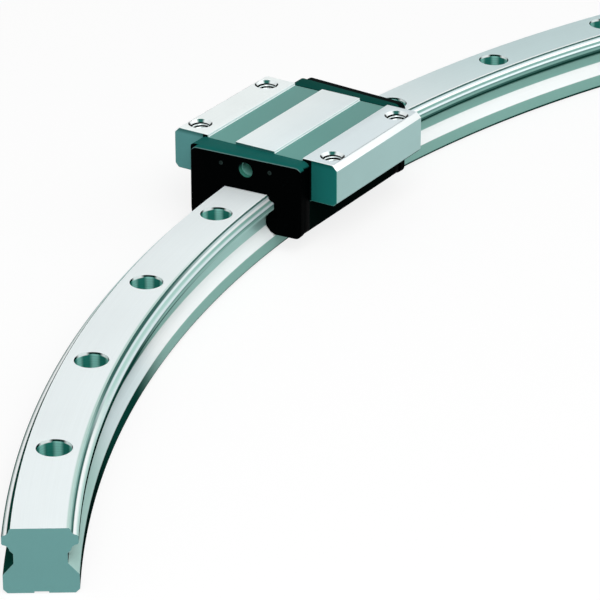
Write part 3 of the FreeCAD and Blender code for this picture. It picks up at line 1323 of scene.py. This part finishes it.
class GeometryRule:
    """A Geometry Nodes tree with named inputs, whose result is kept as a plain mesh."""

    def __init__(self, name: str, inputs: dict[str, str]) -> None:
        """Opens the tree.

        Args:
            name: The tree's name.
            inputs: Named inputs with their socket types, without the common first part of the type name.
        """
        self.tree = bpy.data.node_groups.new(name, "GeometryNodeTree")
        self.tree.interface.new_socket("Geometry", in_out="INPUT", socket_type="NodeSocketGeometry")
        self.tree.interface.new_socket("Geometry", in_out="OUTPUT", socket_type="NodeSocketGeometry")
        for label, kind in {**inputs, "Material": "Material"}.items():
            self.tree.interface.new_socket(label, in_out="INPUT", socket_type=f"NodeSocket{kind}")
        self.sheet = Sheet(self.tree)
        self.given = self.sheet.add("NodeGroupInput").outputs

    def form(self, kind: str, inputs: dict[str, Feed], **settings: object) -> Socket:
        """Adds a geometry node and returns its geometry."""
        return self.sheet.add(f"GeometryNode{kind}", inputs, **settings).outputs[0]

    def place(self, geometry: Socket, **moves: Feed) -> Socket:
        """Moves or turns geometry and returns it."""
        return self.form("Transform", {"Geometry": geometry, **moves})

    def shape(self, label: str) -> Socket:
        """Returns the geometry of an object that an input names."""
        return self.sheet.add("GeometryNodeObjectInfo", {"Object": self.given[label]}).outputs["Geometry"]

    def end(self, geometry: Socket) -> None:
        """Closes the tree: instances are made real and dressed.

        Args:
            geometry: What the tree has made.
        """
        real = self.form("RealizeInstances", {"Geometry": geometry})
        dressed = self.form("SetMaterial", {"Geometry": real, "Material": self.given["Material"]})
        self.sheet.add("NodeGroupOutput", {0: dressed})

    def make(self, name: str, **values: object) -> bpy.types.Object:
        """Runs the tree and keeps its result.

        Args:
            name: Name of the piece.
            values: Values of the inputs, with underscores for the spaces in their names.

        Returns:
            An object with a plain mesh and no modifier.
        """
        host = bpy.data.objects.new(name, bpy.data.meshes.new(name))
        bpy.context.scene.collection.objects.link(host)
        modifier = host.modifiers.new(self.tree.name, "NODES")
        modifier.node_group = self.tree
        for item in self.tree.interface.items_tree:
            label = item.name.replace(" ", "_")
            if item.in_out == "INPUT" and label in values:
                modifier[item.identifier] = values[label]
        return plain(host)


@dataclass
class Rail:
    """The bent rail: its section swept round the bend, with counterbored holes."""

    bend: BendLine
    groups: ShaderGroups
    section: RailSection = RailSection()
    holes: RailHoles = RailHoles()
    steps: int = 161
    end_bevel: float = 0.2 * MM
    end_bevel_steps: int = 2
    end_slack: float = 0.02 * MM
    smooth_degrees: float = 14

    def rule(self) -> GeometryRule:
        """Tree that sweeps the section round the bend and cuts the holes.

        Returns:
            The closed tree.
        """
        rule = GeometryRule("bent_rail", {
            "Section": "Object", "Cutter": "Object", "Bend Radius": "Float", "Bend Centre Y": "Float",
            "Start": "Float", "Sweep": "Float", "Steps": "Int",
            "First Hole": "Float", "Hole Span": "Float", "Hole Count": "Int",
        })
        given = rule.given
        centre = rule.sheet.add("ShaderNodeCombineXYZ", {"Y": given["Bend Centre Y"]}).outputs[0]

        def line(start: str, sweep: str, count: str) -> Socket:
            """Arc of the bend, by the names of its inputs.

            Args:
                start: Input of the first angle.
                sweep: Input of the angle between its ends.
                count: Input of the number of points.

            Returns:
                The arc, in its place.
            """
            arc = rule.form("CurveArc", {
                "Resolution": given[count], "Radius": given["Bend Radius"],
                "Start Angle": given[start], "Sweep Angle": given[sweep],
            }, mode="RADIUS")
            return rule.place(arc, Translation=centre)

        bar = rule.form("CurveToMesh", {
            "Curve": line("Start", "Sweep", "Steps"), "Profile Curve": rule.shape("Section"),
            "Fill Caps": True,
        })
        cutters = rule.form("InstanceOnPoints", {
            "Points": line("First Hole", "Hole Span", "Hole Count"), "Instance": rule.shape("Cutter"),
        })
        bodies = {"Mesh 1": bar, "Mesh 2": rule.form("RealizeInstances", {"Geometry": cutters})}
        rule.end(rule.form("MeshBoolean", bodies, operation="DIFFERENCE", solver="EXACT"))
        return rule

    def on_end(self, face: bmesh.types.BMFace) -> bool:
        """Tells whether a face lies in one of the end planes.

        Args:
            face: A face of the rail.

        Returns:
            True for such a face.
        """
        angles = [self.bend.angle(vert.co) for vert in face.verts]
        slack = self.end_slack / self.bend.radius
        return min(angles) > self.bend.far_angle - slack or max(angles) < self.bend.near_angle + slack

    def bevel_ends(self, mesh: bpy.types.Mesh) -> None:
        """Breaks the edges of both sawn ends.

        Args:
            mesh: The rail's mesh, which is changed.
        """
        shape = bmesh.new()
        shape.from_mesh(mesh)
        bmesh.ops.remove_doubles(shape, verts=shape.verts, dist=WELD)
        caps = {face for face in shape.faces if self.on_end(face)}
        rims = [edge for edge in shape.edges if len(caps.intersection(edge.link_faces)) == 1]
        bmesh.ops.bevel(shape, geom=rims, offset=self.end_bevel, profile=0.5,
                        segments=self.end_bevel_steps, affect="EDGES")
        shape.to_mesh(mesh)
        shape.free()

    def build(self) -> bpy.types.Object:
        """Builds the rail and lets it ride on its body.

        Returns:
            The rail.
        """
        quarter = math.pi / 2
        margin = (self.bend.sweep - self.holes.span) / 2
        near_hole = quarter - self.bend.near_angle - margin
        finish = RailSteel(self.groups, self.bend, self.section, self.holes)
        bar = self.rule().make(
            "rail_bar",
            Section=self.section.curve("rail_section"), Cutter=self.holes.cutter(self.section.height),
            Bend_Radius=self.bend.radius, Bend_Centre_Y=self.bend.centre_y,
            Start=quarter - self.bend.far_angle, Sweep=self.bend.sweep, Steps=self.steps,
            First_Hole=near_hole - self.holes.span, Hole_Span=self.holes.span,
            Hole_Count=self.holes.count, Material=finish.material(),
        )
        self.bevel_ends(bar.data)
        keep_sharp(bar.data, self.smooth_degrees)
        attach(bar, Body.RAIL.value)
        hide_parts("guide_rail")
        return bar


@dataclass(frozen=True)
class SoftEdges:
    """Rounding of a solid's sharp edges, larger on some of its corners along the travel."""

    width: float
    takes: Callable[[Vector], bool]
    corner: Callable[[Vector], bool] | None = None
    segments: int = 3
    corner_width: float = 1.3 * MM
    corner_segments: int = 6
    least_angle: float = math.radians(25)
    flat_angle: float = math.radians(0.5)
    least_share: float = 0.9

    def is_corner(self, edge: bmesh.types.BMEdge) -> bool:
        """Tells whether an edge gets the larger rounding.

        Args:
            edge: An edge of the solid.

        Returns:
            True for an edge along the travel, at one of the corners.
        """
        first, last = (vert.co for vert in edge.verts)
        along = abs((last - first).normalized().x) > self.least_share
        return edge.calc_face_angle(0.0) > self.least_angle and along and self.corner((first + last) / 2)


def softened_copy(
    node: str, name: str, edges: SoftEdges, finish: bpy.types.Material,
) -> bpy.types.Object:
    """Copies a node's solid, rounds its edges and dresses it.

    Args:
        node: Name of the node.
        name: Name of the copy.
        edges: Which edges are rounded, and by how much.
        finish: Material of the copy.

    Returns:
        An object with a plain closed mesh.
    """
    shape = bmesh.new()
    shape.from_mesh(frame["nodes"][node].data)
    bmesh.ops.remove_doubles(shape, verts=shape.verts, dist=WELD)
    plain_edges = [edge for edge in shape.edges if all(edges.takes(vert.co) for vert in edge.verts)]
    bmesh.ops.dissolve_limit(shape, angle_limit=edges.flat_angle, verts=[], edges=plain_edges)
    if edges.corner:
        corners = [edge for edge in shape.edges if edges.is_corner(edge)]
        bmesh.ops.bevel(shape, geom=corners, offset=edges.corner_width, offset_type="OFFSET", profile=0.5,
                        segments=edges.corner_segments, affect="EDGES")
    weight = shape.edges.layers.float.new("bevel_weight_edge")
    for face in shape.faces:
        face.smooth = True
        face.material_index = 0
    for edge in shape.edges:
        sharp = edge.calc_face_angle(0.0) > edges.least_angle
        rounded = sharp and edges.takes((edge.verts[0].co + edge.verts[1].co) / 2)
        edge[weight] = float(rounded)
        edge.smooth = rounded or not sharp
    mesh = bpy.data.meshes.new(name)
    shape.to_mesh(mesh)
    shape.free()
    mesh.materials.append(finish)
    copy = bpy.data.objects.new(name, mesh)
    bpy.context.scene.collection.objects.link(copy)
    bevel = copy.modifiers.new("soft_edges", "BEVEL")
    bevel.limit_method = "WEIGHT"
    bevel.width = edges.width
    bevel.segments = edges.segments
    bevel.use_clamp_overlap = False
    bevel.harden_normals = True
    return plain(copy)


@dataclass(frozen=True)
class Moulding:
    """One kind of moulded piece at the carriage's ends, with its looks."""

    kind: str
    slot: Slot
    edge: float
    edge_steps: int
    roughness: float
    port: str
    tops: dict[End, str]


# Each moulding: painted light in its grease port and a painted reflection on its top, lighter at the near end than
# at the far end
END_PLATE = Moulding(
    "plate", Slot.PLATE, edge=0.3 * MM, edge_steps=3, roughness=0.42, port="#86d2c4",
    tops={End.NEAR: "#17615b", End.FAR: "#0b463f"},
)
END_SEAL = Moulding(
    "seal", Slot.SEAL, edge=0.45 * MM, edge_steps=4, roughness=0.55, port="#448c7c",
    tops={End.NEAR: "#17615b", End.FAR: "#020a09"},
)
# Painted highlight on the rims at the near end, none at the far end
END_RIM_HIGHLIGHTS = {End.NEAR: "#5f807d", End.FAR: "#020a09"}


@dataclass(frozen=True)
class ScrewHead:
    """Low round screw head with a sunk middle, standing on Z."""

    radius: float = 0.8 * MM
    bury: float = 0.3 * MM
    side_height: float = 0.12 * MM
    shoulder_radius: float = 0.7 * MM
    shoulder_height: float = 0.24 * MM
    crown_radius: float = 0.5 * MM
    height: float = 0.3 * MM
    well_radius: float = 0.36 * MM
    well_floor_radius: float = 0.32 * MM
    well_floor_height: float = 0.1 * MM
    sides: int = 24

    def build(self) -> bpy.types.Object:
        """Turns the head on the lathe.

        Returns:
            An object that isn't in the scene yet.
        """
        profile = [
            (self.radius, -self.bury), (self.radius, self.side_height),
            (self.shoulder_radius, self.shoulder_height), (self.crown_radius, self.height),
            (self.well_radius, self.height), (self.well_floor_radius, self.well_floor_height),
        ]
        return lathe("end_screw", profile, self.sides)


@dataclass
class Carriage:
    """The flanged carriage: steel block, threads, end plates, end seals and their screws."""

    bend: BendLine
    groups: ShaderGroups
    plate_thickness: float = 6 * MM
    seal_thickness: float = 2.8 * MM
    bore_half: float = 14.5 * MM
    bore_top: float = 26 * MM
    leg_corner: float = 11.5 * MM
    joint_clear: float = 0.15 * MM
    port_clear: float = 4 * MM
    port_lip: float = 0.9 * MM
    block_edge: float = 0.35 * MM
    tap_clear: float = 5.2 * MM
    thread_pitch: float = 1.25 * MM
    thread_depth: float = 0.32 * MM
    thread_top: float = 1.2 * MM
    thread_turns: int = 10
    thread_turn_steps: int = 40
    thread_start: float = math.radians(212)
    thread_smooth_degrees: float = 40
    ridge_sides: int = 4
    screw_head: ScrewHead = ScrewHead()
    screw_half_spacing: float = 10 * MM
    screw_height: float = 31 * MM
    screw_smooth_degrees: float = 30

    def __post_init__(self) -> None:
        """Reads the block's box, the tapped holes and the ports' height from the frame."""
        _, self.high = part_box("carriage_block")
        mounts = {mount["name"]: mount for mount in frame["record"]["mounts"]}
        taps = mounts["carriage_bolts"]["dims"]
        self.tap_along = taps["spacing_x_mm"] * MM
        self.tap_across = taps["spacing_y_mm"] * MM
        self.tap_radius = taps["hole_r_mm"] * MM
        self.port_height = mounts["grease_port_near"]["pos_m"][2]

    @property
    def plate_angle(self) -> float:
        """Angle from the carriage's middle to the plane where plate and seal meet."""
        return math.atan((self.high.x + self.plate_thickness) / self.bend.radius)

    def outside_block(self, place: Vector) -> bool:
        """Tells whether hands can reach a place on the block.

        Args:
            place: A point on an edge.

        Returns:
            True outside the bore and away from the tapped holes.
        """
        across = abs(place.y - self.bend.middle_y)
        in_bore = across < self.bore_half and place.z < self.bore_top
        from_tap = math.hypot(abs(place.x) - self.tap_along / 2, across - self.tap_across / 2)
        return not in_bore and from_tap > self.tap_clear

    def outside_end(self, place: Vector) -> bool:
        """Tells whether a place is on the outer edges of an end plate or seal.

        Args:
            place: A point on an edge.

        Returns:
            True outside the bore, and away from the port and the joint of the two.
        """
        aside = self.bend.aside(place)
        in_bore = aside < self.bore_half and place.z < self.bore_top
        reach = place.y - self.bend.centre_y
        past_joint = abs(place.x) * math.cos(self.plate_angle) - reach * math.sin(self.plate_angle)
        at_port = math.hypot(aside, place.z - self.port_height) < self.port_clear
        return not (in_bore or at_port or abs(past_joint) < self.joint_clear)

    def at_leg(self, place: Vector) -> bool:
        """True near the inner corners of the legs of an end plate or seal."""
        return self.bend.aside(place) < self.bore_half and place.z < self.leg_corner

    def attach(self, piece: bpy.types.Object, slot: Slot, *nodes: str) -> bpy.types.Object:
        """Lets a piece ride on the carriage.

        Args:
            piece: The finished piece.
            slot: Not used.
            nodes: Nodes that it stands for.

        Returns:
            The same piece.
        """
        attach(piece, Body.CARRIAGE.value)
        if nodes:
            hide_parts(*nodes)
        return piece

    def block(self) -> bpy.types.Object:
        """Steel block with broken edges.

        Returns:
            The finished piece.
        """
        finish = BlockSteel(
            self.groups, self.bend, self.high.z,
            hole_along=self.tap_along / 2, hole_across=self.tap_across / 2,
        )
        edges = SoftEdges(self.block_edge, self.outside_block)
        body = softened_copy("carriage_block", "block_body", edges, finish.material())
        return self.attach(body, Slot.BLOCK, "carriage_block")

    def threads(self) -> bpy.types.Object:
        """Helical ridges in the four tapped holes.

        Returns:
            The finished piece.
        """
        rule = GeometryRule("flange_threads", {
            "Middle": "Vector", "Spacing Along": "Float", "Spacing Across": "Float",
            "Wall Radius": "Float", "Turns": "Float", "Turn Steps": "Int", "Thread Height": "Float",
            "Ridge": "Float", "Ridge Sides": "Int", "Start": "Vector",
        })
        given = rule.given
        helix = rule.form("CurveSpiral", {
            "Resolution": given["Turn Steps"], "Rotations": given["Turns"],
            "Start Radius": given["Wall Radius"], "End Radius": given["Wall Radius"],
            "Height": given["Thread Height"],
        })
        ridge = rule.form("CurvePrimitiveCircle", {
            "Resolution": given["Ridge Sides"], "Radius": given["Ridge"],
        }, mode="RADIUS")
        thread = rule.form("CurveToMesh", {"Curve": helix, "Profile Curve": ridge, "Fill Caps": True})
        corners = rule.form("MeshGrid", {
            "Size X": given["Spacing Along"], "Size Y": given["Spacing Across"],
            "Vertices X": 2, "Vertices Y": 2,
        })
        holes = rule.form("InstanceOnPoints", {
            "Points": corners, "Instance": thread, "Rotation": given["Start"],
        })
        rule.end(rule.place(holes, Translation=given["Middle"]))

        height = self.thread_turns * self.thread_pitch
        floor = self.high.z - self.thread_top - height
        finish = SmallSteel("thread_steel", self.groups, bright="#f0f6f6", dull="#c3d6d4")
        piece = rule.make(
            "flange_threads",
            Middle=(0, self.bend.middle_y, floor), Spacing_Along=self.tap_along,
            Spacing_Across=self.tap_across, Wall_Radius=self.tap_radius,
            Turns=float(self.thread_turns), Turn_Steps=self.thread_turn_steps, Thread_Height=height,
            Ridge=self.thread_depth, Ridge_Sides=self.ridge_sides, Start=(0, 0, self.thread_start),
            Material=finish.material(),
        )
        keep_sharp(piece.data, self.thread_smooth_degrees)
        return self.attach(piece, Slot.BLOCK)

    def moulded(self, moulding: Moulding, end: End) -> bpy.types.Object:
        """End plate or end seal.

        Args:
            moulding: Which of the two.
            end: The carriage's end that it belongs to.

        Returns:
            The finished piece.
        """
        lip_along = self.bend.along(self.plate_angle) + self.seal_thickness - self.port_lip
        finish = MouldedBlack(
            f"{moulding.slot.value}_{end.label}", self.groups, moulding.roughness, top=moulding.tops[end],
            rim=END_RIM_HIGHLIGHTS[end], port=moulding.port, port_height=self.port_height, lip_along=lip_along,
        )
        node = f"end_{moulding.kind}_{end.label}"
        edges = SoftEdges(moulding.edge, self.outside_end, self.at_leg, moulding.edge_steps)
        piece = softened_copy(node, f"{moulding.kind}_{end.label}", edges, finish.material())
        return self.attach(piece, moulding.slot, node)

    def screws(self, end: End, finish: bpy.types.Material) -> bpy.types.Object:
        """Two screws that hold plate and seal to one end of the block.

        Args:
            end: The carriage's end that they belong to.
            finish: Their material.

        Returns:
            The finished piece.
        """
        rule = GeometryRule("end_screws", {
            "Screw": "Object", "First": "Vector", "Step": "Vector", "Lean": "Vector", "Turn": "Vector",
            "Centre": "Vector",
        })
        given = rule.given
        points = rule.form("MeshLine", {
            "Count": 2, "Start Location": given["First"], "Offset": given["Step"],
        })
        placed = rule.form("InstanceOnPoints", {
            "Points": points, "Instance": rule.shape("Screw"), "Rotation": given["Lean"],
        })
        rule.end(rule.place(rule.place(placed, Rotation=given["Turn"]), Translation=given["Centre"]))

        side = end.value
        first_y = self.bend.radius - self.screw_half_spacing
        piece = rule.make(
            f"end_screws_{end.label}",
            Screw=self.screw_head.build(), First=(side * self.seal_thickness, first_y, self.screw_height),
            Step=(0, 2 * self.screw_half_spacing, 0), Lean=(0, side * math.pi / 2, 0),
            Turn=(0, 0, -side * self.plate_angle), Centre=(0, self.bend.centre_y, 0), Material=finish,
        )
        keep_sharp(piece.data, self.screw_smooth_degrees)
        return self.attach(piece, Slot.BLOCK)

    def build(self) -> list[bpy.types.Object]:
        """Builds the carriage's pieces.

        Returns:
            The finished pieces.
        """
        pieces = [self.block(), self.threads()]
        blackened = SmallSteel("screw_steel", self.groups, bright="#33423f", dull="#0a0f0e", roughness=0.4)
        screw_finish = blackened.material()
        for end in End:
            pieces += [self.moulded(moulding, end) for moulding in (END_PLATE, END_SEAL)]
            pieces.append(self.screws(end, screw_finish))
        return pieces


@dataclass(frozen=True)
class Softbox:
    """Square lamp that looks at a point."""

    name: str
    place: Point3
    size: float
    power: float
    aim: Point3 = (0.0, 0.0, 0.0)

    def build(self) -> None:
        """Adds the lamp."""
        data = bpy.data.lights.new(self.name, "AREA")
        data.size = self.size
        data.energy = self.power
        lamp = bpy.data.objects.new(self.name, data)
        lamp.location = self.place
        lamp.rotation_euler = (Vector(self.aim) - Vector(self.place)).to_track_quat("-Z", "Y").to_euler()
        bpy.context.scene.collection.objects.link(lamp)


@dataclass(frozen=True)
class Studio:
    """Pale floor, plain soft light and the camera."""

    ambient: float = 0.32
    background: float = 1.0
    floor_half: float = 6.0
    floor_drop: float = 0.2 * MM
    floor_plain: float = 0.8
    floor_glow: float = 0.82
    floor_shadow: float = 0.2
    camera_place: Point3 = (-0.9814, -0.6144, 0.5201)
    camera_pitch: float = math.radians(25.69)
    camera_turn: float = math.radians(-57.82)
    lens_mm: float = 204.5
    lamps: tuple[Softbox, ...] = (
        Softbox("key_box", (-0.9, -1.2, 2.2), size=1.6, power=25.0),
        Softbox("fill_box", (1.0, -1.6, 1.2), size=1.2, power=6.0),
        Softbox("front_box", (-1.3, -0.8, 1.3), size=1.0, power=12.0),
    )

    @staticmethod
    def seen_or_lit(sheet: Sheet, lit: bpy.types.Node, seen: bpy.types.Node) -> Socket:
        """Chooses between two shaders by the ray.

        Args:
            sheet: The tree's sheet.
            lit: Shader for the rays that light the part.
            seen: Shader for the rays that look at it: from the camera, off metal and through glass.

        Returns:
            The shader.
        """
        path = sheet.add("ShaderNodeLightPath").outputs
        looks = sheet.math("MAXIMUM", path["Is Camera Ray"], path["Is Glossy Ray"])
        looks = sheet.math("MAXIMUM", looks, path["Is Transmission Ray"])
        inputs = {0: looks, 1: lit.outputs[0], 2: seen.outputs[0]}
        return sheet.add("ShaderNodeMixShader", inputs).outputs[0]

    def world(self) -> None:
        """White surroundings that light the part at a plain level."""
        world = bpy.data.worlds.new("white_room")
        world.use_nodes = True
        sheet = Sheet(world.node_tree)
        sheet.tree.nodes.clear()
        light = sheet.add("ShaderNodeBackground", {"Color": grey(1.0), "Strength": self.ambient})
        white = sheet.add("ShaderNodeBackground", {"Color": grey(1.0), "Strength": self.background})
        sheet.add("ShaderNodeOutputWorld", {"Surface": self.seen_or_lit(sheet, light, white)})
        bpy.context.scene.world = world

    def floor(self) -> None:
        """Pale floor that keeps the part's shadow."""
        half = self.floor_half
        mesh = bpy.data.meshes.new("floor")
        corners = [(-half, -half), (half, -half), (half, half), (-half, half)]
        mesh.from_pydata([(x, y, -self.floor_drop) for x, y in corners], [], [(0, 1, 2, 3)])
        floor = bpy.data.objects.new("floor", mesh)
        bpy.context.scene.collection.objects.link(floor)
        sheet = MaterialSheet("pale_floor")
        plain_floor = sheet.add("ShaderNodeBsdfDiffuse", {"Color": grey(self.floor_plain)})
        glow = sheet.add("ShaderNodeEmission", {"Strength": self.floor_glow})
        shadowed = sheet.add("ShaderNodeBsdfDiffuse", {"Color": grey(self.floor_shadow)})
        bright = sheet.add("ShaderNodeAddShader", {0: glow.outputs[0], 1: shadowed.outputs[0]})
        sheet.add("ShaderNodeOutputMaterial", {"Surface": self.seen_or_lit(sheet, plain_floor, bright)})
        mesh.materials.append(sheet.material)

    def camera(self) -> None:
        """Camera at the photograph's place."""
        data = bpy.data.cameras.new("camera")
        data.lens = self.lens_mm
        camera = bpy.data.objects.new("camera", data)
        camera.location = self.camera_place
        camera.rotation_euler = (math.pi / 2 - self.camera_pitch, 0.0, self.camera_turn)
        bpy.context.scene.collection.objects.link(camera)
        bpy.context.scene.camera = camera

    def build(self) -> None:
        """Builds the stage."""
        bpy.context.scene.view_settings.view_transform = "Standard"
        self.world()
        self.floor()
        self.camera()
        for lamp in self.lamps:
            lamp.build()


def main() -> None:
    """Builds the rail, the carriage and the stage."""
    logging.basicConfig(level=logging.INFO, format="%(name)s: %(message)s")
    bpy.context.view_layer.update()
    bend = BendLine.from_frame()
    groups = ShaderGroups(bend)
    pieces = [Rail(bend, groups).build()]
    pieces += Carriage(bend, groups).build()
    for piece in pieces:
        log.info("%s: %d faces", piece.name, len(piece.data.polygons))
    Studio().build()


if __name__ == "__main__":
    main()
